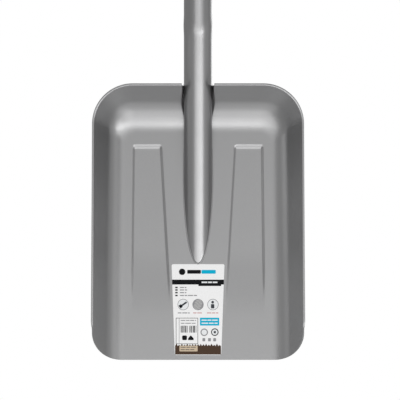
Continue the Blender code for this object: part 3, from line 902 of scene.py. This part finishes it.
def across_socket(turn):
    """The place of a piece made about Z and laid across the socket, along Y, at the screws' height."""
    return Matrix.Translation((0, 0, SCREW_RISE)) @ Matrix.Rotation(turn, 4, "X")


def round_cutter(name, radius, start, end, sides=48):
    """A cylinder along -Y, from start to end, at the screws' height."""
    cutter = turned(name, [(radius, start), (radius, end)], sides)
    cutter.matrix_world = across_socket(math.pi / 2)
    return cutter


def make_grip_body():
    """Socket, arms and crossbar as one moulding, with the tube's bore and the screws' holes."""
    bm = bmesh.new()
    add_yoke(bm)
    add_turned(bm, socket_profile(), 2 * GRIP_SIDES)
    body = mesh_object("grip_moulding", bm)
    remesh = body.modifiers.new("one_moulding", "REMESH")
    remesh.mode = "VOXEL"
    remesh.voxel_size = GRIP_VOXEL
    smooth = body.modifiers.new("soft_edges", "SMOOTH")
    smooth.factor = 0.5
    smooth.iterations = 6
    apply_modifiers(body)
    outside = SOCKET_RADIUS + 0.010
    bore = turned("bore_cutter", [(BORE_RADIUS, -SOCKET_DEPTH - 0.010), (BORE_RADIUS, 0.0003)], TUBE_SIDES)
    hole = round_cutter("hole_cutter", SCREW_SHANK_RADIUS, -outside, outside, 32)
    recess = SCREW_HEAD_RADIUS + 0.0005
    front = round_cutter("front_cutter", recess, SCREW_SEAT, outside)
    rear = round_cutter("rear_cutter", recess, -outside, -SCREW_SEAT)
    cut(body, [bore, hole, front, rear])
    return body


def make_sleeve():
    """Soft sleeve round the crossbar's core, with shallow grooves between rounded rings."""
    groove_pitch, groove_depth, steps, sides = 0.005, 0.0007, 320, 96
    plain_end, fade = 0.004, 0.003
    profile = [(CORE_RADIUS, -SLEEVE_HALF_LENGTH)]
    for k in range(steps + 1):
        x = lerp(-SLEEVE_HALF_LENGTH, SLEEVE_HALF_LENGTH, k / steps)
        from_end = SLEEVE_HALF_LENGTH - abs(x)
        dip = groove_depth * max(0.0, math.cos(2 * math.pi * x / groove_pitch)) ** 6
        dip *= smooth_step((from_end - plain_end) / fade)
        short = max(0.0, 1 - from_end / SLEEVE_EDGE_RADIUS)
        edge = SLEEVE_EDGE_RADIUS * (1 - math.sqrt(1 - short**2))
        profile.append((CROSSBAR_RADIUS - dip - edge, x))
    profile.append((CORE_RADIUS, SLEEVE_HALF_LENGTH))
    bm = bmesh.new()
    rings = []
    for radius, x in profile:
        ring = []
        for a in ring_angles(sides):
            ring.append(Vector((x, radius * math.sin(a), CROSSBAR_RISE + radius * math.cos(a))))
        rings.append(ring)
    add_loft(bm, rings + rings[:1], caps=False)
    bmesh.ops.remove_doubles(bm, verts=bm.verts, dist=1e-6)
    return mesh_object("hand_sleeve", bm)


def make_screw(name):
    """A pan-head screw with a cross recess, its head towards +Z."""
    rim, crown, steps = 0.0007, 0.0017, 10
    slot_size, slot_rise = (0.0042, 0.0009, 0.0032, 1), 0.0026
    head = [(SCREW_HEAD_RADIUS, SCREW_SEAT), (SCREW_HEAD_RADIUS, SCREW_SEAT + rim)]
    for k in range(1, steps):
        turn = math.pi / 2 * k / steps
        radius = SCREW_HEAD_RADIUS * (0.35 + 0.65 * math.cos(turn))
        head.append((radius, SCREW_SEAT + rim + crown * math.sin(turn)))
    shank = [
        (0.0006, TUBE_RADIUS - 0.0050),
        (SCREW_SHANK_RADIUS, TUBE_RADIUS - 0.0030),
        (SCREW_SHANK_RADIUS, SCREW_SEAT),
    ]
    screw = turned(name, shank + head, 48)
    cutters = []
    for k in range(2):
        bm = bmesh.new()
        slot = Matrix.Translation((0, 0, SCREW_SEAT + slot_rise)) @ Matrix.Rotation(math.pi / 2 * k, 4, "Z")
        bmesh.ops.create_cube(bm, size=1, matrix=slot @ Matrix.Diagonal(slot_size))
        cutters.append(mesh_object(f"recess_cutter_{k}", bm))
    cut(screw, cutters)
    return screw


# --- label ---


def add_prism(bm, outline, low, high):
    """A flat prism over (x, z) points of the label, between two heights above the scoop's floor."""
    add_loft(bm, [[at_height(x, height, LABEL_BOTTOM + z) for x, z in outline] for height in (low, high)])


def rounded(points, radius, steps=6):
    """An outline with its corners rounded."""
    outline = []
    count = len(points)
    for k in range(count):
        corner = Vector(points[k])
        to_before = (Vector(points[k - 1]) - corner).normalized()
        to_after = (Vector(points[(k + 1) % count]) - corner).normalized()
        half_turn = to_before.angle(to_after) / 2
        inward = (to_before + to_after).normalized()
        centre = corner + inward * radius / math.sin(half_turn)
        start = corner + to_before * radius / math.tan(half_turn) - centre
        end = corner + to_after * radius / math.tan(half_turn) - centre
        for s in range(steps + 1):
            spoke = start.lerp(end, s / steps).normalized() * radius
            outline.append(tuple(centre + spoke))
    return outline


def bar(x0, x1, z0, z1):
    return [(x0, z0), (x1, z0), (x1, z1), (x0, z1)]


def disc(x, z, radius, sides=40):
    return [(x + radius * math.cos(a), z + radius * math.sin(a)) for a in ring_angles(sides)]


def half_width_at(z):
    """The label's half width at this height above its own lower edge."""
    return lerp(*LABEL_HALF_WIDTHS, z / (LABEL_TOP - LABEL_BOTTOM))


def words(x0, x1, z, tall, lengths):
    """A row of short bars that stands for a line of small print."""
    gap = 0.0009
    outlines = []
    start, k = x0, 0
    while start < x1 - gap:
        end = min(x1, start + lengths[k % len(lengths)])
        outlines.append(bar(start, end, z - tall / 2, z + tall / 2))
        start = end + gap
        k += 1
    return outlines


def bar_code(x0, x1, z0, z1):
    """Upright bars of a made-up rhythm that encodes nothing."""
    unit = 0.00035
    outlines = []
    start, k = x0, 0
    while start < x1:
        width = unit * (1 + (k * k + k // 3) % 3)
        outlines.append(bar(start, min(x1, start + width), z0, z1))
        start += width + unit * (1 + (k * 5 // 3) % 3)
        k += 1
    return outlines


def slanted(x, z, length, thick, degrees):
    """A thin bar about its middle, turned by that angle."""
    turn = Matrix.Rotation(math.radians(degrees), 2)
    corners = bar(-length / 2, length / 2, -thick / 2, thick / 2)
    return [tuple(Vector((x, z)) + turn @ Vector(c)) for c in corners]


def soil():
    """A strip of dark earth along the lower edge, with blades of growth on top."""
    tall, spike, edge, count = 0.0105, 0.0032, 0.0004, 34
    half = half_width_at(0) - edge
    outline = [(-half, -edge), (half, -edge)]
    for k in range(count + 1):
        x = lerp(half, -half, k / count)
        rise = spike * (0.35 + 0.65 * abs(math.sin(2.4 * k + 0.8))) if k % 2 else 0.0
        outline.append((x, tall + rise))
    return outline


def label_print():
    """(material, colour, layer, outlines) of everything printed on the label.

    Places are (x, z) from the middle of its lower edge.
    """
    band_low, band_high, notch_low = 0.0890, 0.0952, 0.0871
    dark, body = [], []
    dark.append(disc(-0.0203, 0.1052, 0.0041))
    dark.append(rounded(bar(-0.0138, 0.0036, 0.1028, 0.1076), 0.0010))
    low, high = half_width_at(band_low), half_width_at(band_high)
    band = [(-low, band_low), (0.0005, band_low), (0.0005, notch_low), (0.0295, notch_low)]
    band += [(0.0295, band_low), (low, band_low), (high, band_high), (-high, band_high)]
    dark.append(band)
    for z, end in ((0.0852, -0.0150), (0.0820, -0.0126), (0.0786, -0.0150), (0.0750, -0.0013)):
        dark.append(bar(-0.0291, -0.0260, z - 0.0009, z + 0.0009))
        body += words(-0.0232, end, z, 0.0013, (0.0052, 0.0031, 0.0068))
    left, middle, right, round_row, caption_row = -0.019, 0.0, 0.019, 0.0634, 0.0527
    body += [disc(x, round_row, 0.0072) for x in (left, middle, right)]
    red = words(-0.0063, 0.0063, caption_row, 0.0012, (0.0044, 0.0058))
    red += words(0.0114, 0.0259, caption_row, 0.0012, (0.0056, 0.0040))
    body += words(-0.0259, -0.0105, caption_row, 0.0012, (0.0048, 0.0066))
    x0, x1, z0, z1, line = -0.0283, 0.0, 0.0130, 0.0464, 0.0006
    dark += [bar(x0, x1, z1 - line, z1), bar(x0, x1, z0, z0 + line)]
    dark += [bar(x0, x0 + line, z0 + line, z1 - line), bar(x1 - line, x1, z0 + line, z1 - line)]
    dark.append(bar(x0 + 0.0040, x0 + 0.0044, z0 + line, z1 - line))
    body += words(-0.0222, -0.0025, 0.0431, 0.0011, (0.0060, 0.0044, 0.0052))
    body += words(-0.0222, -0.0025, 0.0395, 0.0011, (0.0050, 0.0072))
    dark += bar_code(-0.0222, -0.0132, 0.0276, 0.0364) + bar_code(-0.0112, -0.0022, 0.0276, 0.0364)
    dark.append(rounded(bar(-0.0203, -0.0141, 0.0180, 0.0240), 0.0016))
    house = [(-0.0127, 0.0180), (-0.0057, 0.0180), (-0.0057, 0.0205), (-0.0092, 0.0240), (-0.0127, 0.0205)]
    dark.append(house)
    cyan = [rounded(bar(0.0044, 0.0226, 0.1028, 0.1076), 0.0010), bar(0.0025, 0.0270, 0.0366, 0.0466)]
    dark.append(disc(0.0214, 0.0282, 0.0048))
    body.append(disc(0.0079, 0.0280, 0.0048))
    for x in (0.0074, 0.0146, 0.0212):
        body.append(rounded(bar(x - 0.0018, x + 0.0018, 0.0164, 0.0206), 0.0008))
    pale = [disc(left, round_row, 0.0065), disc(right, round_row, 0.0065)]
    pale += [disc(0.0214, 0.0282, 0.0036), disc(0.0079, 0.0280, 0.0034)]
    pale += words(0.0045, 0.0250, 0.0435, 0.0016, (0.0066, 0.0050, 0.0072))
    pale += words(0.0045, 0.0250, 0.0396, 0.0016, (0.0084, 0.0062))
    pale += words(0.0045, 0.0265, 0.0918, 0.0019, (0.0074, 0.0050, 0.0060))
    over = [slanted(left, round_row, 0.0110, 0.0022, 35), slanted(-0.0222, 0.0612, 0.0036, 0.0044, 35)]
    over += [rounded(bar(0.0165, 0.0208, 0.0585, 0.0640), 0.0010), disc(0.0187, 0.0664, 0.0017, 24)]
    over.append(disc(0.0214, 0.0282, 0.0016, 24))
    pitch = 0.0018
    texture = []
    for k in range(-3, 4):
        texture.append(slanted(middle, round_row + pitch * k, 0.0120 - pitch * abs(k), 0.0006, 20))
    beige = [rounded(bar(-0.0237, -0.0006, 0.0036, 0.0108), 0.0008)]
    lines = words(-0.0222, -0.0022, 0.0089, 0.0008, (0.0064, 0.0046))
    lines += words(-0.0222, -0.0040, 0.0058, 0.0008, (0.0052,))
    return [
        ("print_dark", (0.003, 0.004, 0.005), 1, dark),
        ("print_grey", (0.30, 0.30, 0.31), 1, body),
        ("print_red", (0.62, 0.33, 0.32), 1, red),
        ("print_cyan", (0.0, 0.44, 0.66), 1, cyan),
        ("print_earth", (0.075, 0.045, 0.028), 1, [soil()]),
        ("print_pale", (0.84, 0.86, 0.87), 2, pale),
        ("print_beige", (0.62, 0.50, 0.36), 2, beige),
        ("print_texture", (0.62, 0.62, 0.60), 2, texture),
        ("print_figures", (0.05, 0.055, 0.065), 3, over + lines),
    ]


def make_label(film):
    """The film stuck on the scoop's floor, with each colour of print as a thin piece of its own."""
    low, high = LABEL_HALF_WIDTHS
    foot, tall = -LABEL_MARGIN, LABEL_TOP - LABEL_BOTTOM + LABEL_MARGIN
    corners = [(-low, foot), (low, foot), (high, tall), (-high, tall)]
    bm = bmesh.new()
    surface = LABEL_LIFT + LABEL_THICKNESS
    add_prism(bm, rounded(corners, LABEL_CORNER), LABEL_LIFT, surface)
    place(mesh_object("label_film", bm), film, "printed_label", ["label"])
    depth = 1.5  # in layers, so that each reaches into the one under it
    for name, colour, layer, outlines in label_print():
        bm = bmesh.new()
        for outline in outlines:
            add_prism(bm, outline, surface + (layer - depth) * INK, surface + layer * INK)
        place(mesh_object(name, bm), printed(name, colour), "printed_label")


# --- studio ---

TARGET = LIP + Vector((0, -0.02, 0.19))  # middle of the scoop


def softbox(name, azimuth, elevation, wide, tall, brightness):
    """A distant area light aimed at the scoop, its size given as the angles it fills, in degrees.

    Azimuth 0 is the front, and +90 degrees is the +X side. Brightness is in watts per square metre.
    """
    distance = 4.0
    data = bpy.data.lights.new(name, "AREA")
    data.shape = "RECTANGLE"
    data.size = 2 * distance * math.tan(math.radians(wide / 2))
    data.size_y = 2 * distance * math.tan(math.radians(tall / 2))
    data.energy = brightness * data.size * data.size_y
    light = add_object(name, data)
    a, e = math.radians(azimuth), math.radians(elevation)
    way = Vector((math.sin(a) * math.cos(e), -math.cos(a) * math.cos(e), math.sin(e)))
    light.location = TARGET + way * distance
    light.rotation_euler = way.to_track_quat("Z", "Y").to_euler()
    light.visible_camera = False


def make_world(seen, felt):
    """A white backdrop as seen, and a dim grey one as it lights the object."""
    world = bpy.data.worlds.new("studio")
    world.use_nodes = True
    nodes, links = world.node_tree.nodes, world.node_tree.links
    nodes.clear()
    path = nodes.new("ShaderNodeLightPath")
    mix = nodes.new("ShaderNodeMixShader")
    links.new(path.outputs["Is Camera Ray"], mix.inputs[0])
    for k, grey in ((1, felt), (2, seen)):
        background = nodes.new("ShaderNodeBackground")
        background.inputs["Color"].default_value = (grey, grey, grey, 1)
        links.new(background.outputs[0], mix.inputs[k])
    links.new(mix.outputs[0], nodes.new("ShaderNodeOutputWorld").inputs["Surface"])
    bpy.context.scene.world = world


def make_floor(drop, radius):
    """A round pale floor well below the scoop."""
    thick, sides = 0.02, 96
    floor = turned("studio_floor", [(radius, -thick), (radius, 0)], sides)
    floor.location = LIP - Vector((0, 0, drop))
    s = Surface("studio_floor", (0.80, 0.80, 0.80), 0.7)
    tone = s.noise(0.4, detail=3)
    s.tint(tone, (0.78, 0.78, 0.78), (0.82, 0.82, 0.82))
    floor.data.materials.append(s.material)
    # The lights that stand lower than the floor shine through it.
    floor.visible_shadow = False
    floor.visible_diffuse = False
    floor.visible_glossy = False


def make_camera(distance, frame_width, middle):
    """A long lens straight in front of the scoop."""
    data = bpy.data.cameras.new("camera")
    data.sensor_width = 36
    data.lens = data.sensor_width * distance / frame_width
    data.clip_end = 100
    camera = add_object("camera", data)
    camera.location = LIP + middle - Vector((0, distance, 0))
    camera.rotation_euler = (math.pi / 2, 0, 0)
    bpy.context.scene.camera = camera


def make_studio():
    make_world(seen=1.0, felt=0.40)
    make_floor(drop=0.9, radius=4.0)
    make_camera(distance=8.0, frame_width=0.5108, middle=Vector((0.0025, 0, 0.2039)))
    softbox("key_right", 30, -20, 24, 12, 12.5)
    softbox("key_middle", 6, -20, 24, 12, 9.0)
    softbox("key_left", -18, -20, 24, 12, 5.6)
    softbox("middle_right", 26, -35, 36, 16, 3.2)
    softbox("middle_left", -12, -35, 36, 16, 4.4)
    softbox("low_right", 42, -54, 44, 20, 1.8)
    softbox("low_middle", 0, -54, 40, 20, 3.3)
    softbox("floor_bounce", 0, -78, 60, 26, 1.5)
    softbox("front", 0, -4, 40, 16, 2.1)
    softbox("front_upper", 0, 12, 60, 14, 1.3)
    softbox("side_right", 48, -12, 24, 44, 1.2)
    softbox("side_left", -44, -12, 24, 44, 0.3)
    softbox("strip_left", -72, 12, 30, 30, 2.0)
    softbox("strip_right", 80, -10, 36, 40, 0.5)
    softbox("back_right", 155, 15, 40, 50, 5.0)
    softbox("back_left", -150, 35, 60, 40, 3.0)


# --- assembly ---


def main():
    paint = grey_powder_coat()
    plastic = black_plastic()
    rubber = soft_rubber()
    zinc = zinc_steel()
    film = printed("label_film", (0.92, 0.92, 0.92), 0.3)
    for piece, node in (
        (make_blade(), "blade"),
        (make_shaft(), "shaft_tube"),
        (floor_weld("foot_weld_tip", -39, 39), "weld_tip"),
        (floor_weld("foot_weld_left", -112, -39.5), "weld_left"),
        (floor_weld("foot_weld_right", 39.5, 112), "weld_right"),
        (seat_weld("seat_bead_left", -1), "seat_weld_left"),
        (seat_weld("seat_bead_right", 1), "seat_weld_right"),
        (rear_weld("rear_bead"), "rear_weld"),
    ):
        place(piece, paint, "grey_powder_coat", [node])
    grip = grip_place()
    place(make_grip_body(), plastic, "black_plastic", ["grip_body"], grip)
    place(make_sleeve(), rubber, "soft_grip", ["grip_sleeve"], grip)
    for side, turn in (("front", math.pi / 2), ("rear", -math.pi / 2)):
        spot = grip @ across_socket(turn)
        place(make_screw(f"screw_{side}"), zinc, "zinc_steel", [f"grip_screw_{side}"], spot)
    make_label(film)
    make_studio()
    bpy.context.scene.view_settings.view_transform = "Standard"


main()
